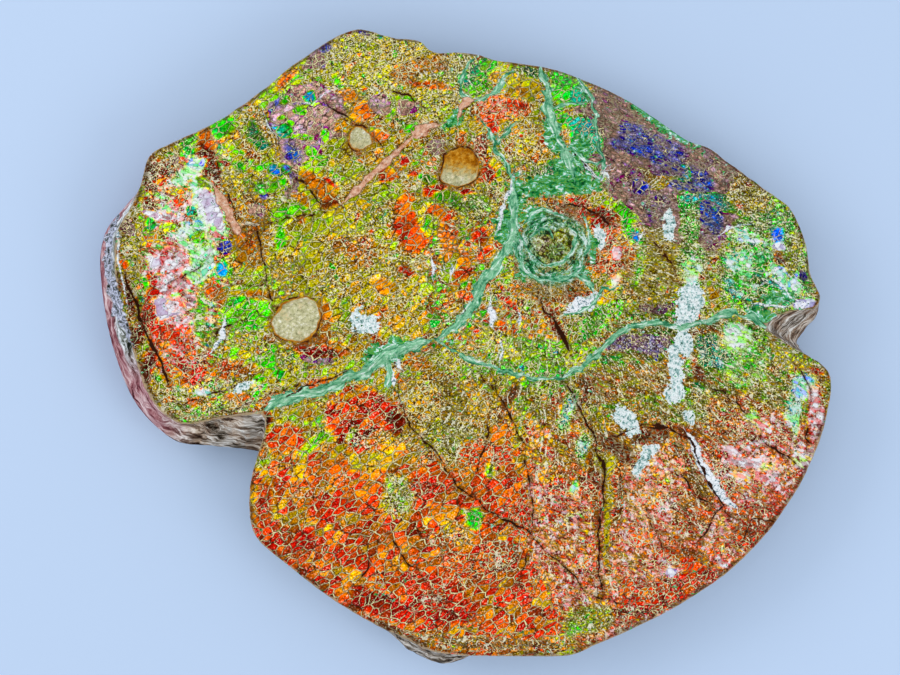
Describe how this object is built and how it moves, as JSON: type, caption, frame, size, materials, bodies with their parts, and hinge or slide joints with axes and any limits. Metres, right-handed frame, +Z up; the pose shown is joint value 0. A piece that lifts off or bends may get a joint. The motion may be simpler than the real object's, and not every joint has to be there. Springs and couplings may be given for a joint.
{
  "type": "ammolite specimen",
  "caption": "Large flat-lying ammonite fossil with an iridescent crackled nacre shell, bite pits, calcite-filled fault and broken ironstone edges, made as one solid.",
  "frame": {"origin": "middle of the fossil's bounding box on the surface it lies on", "axes": "+X along the long way of the shell, +Y towards the top of the shell as shown, +Z up out of the shown flank"},
  "size_m": [0.4084, 0.354, 0.0606],
  "materials": {
    "ammolite_nacre": "iridescent fossil nacre in crackled red, orange, gold and green tiles, polished, over matt brown ironstone"
  },
  "bodies": {
    "root": {"ammonite_fossil": "ammolite_nacre"}
  },
  "joints": []
}
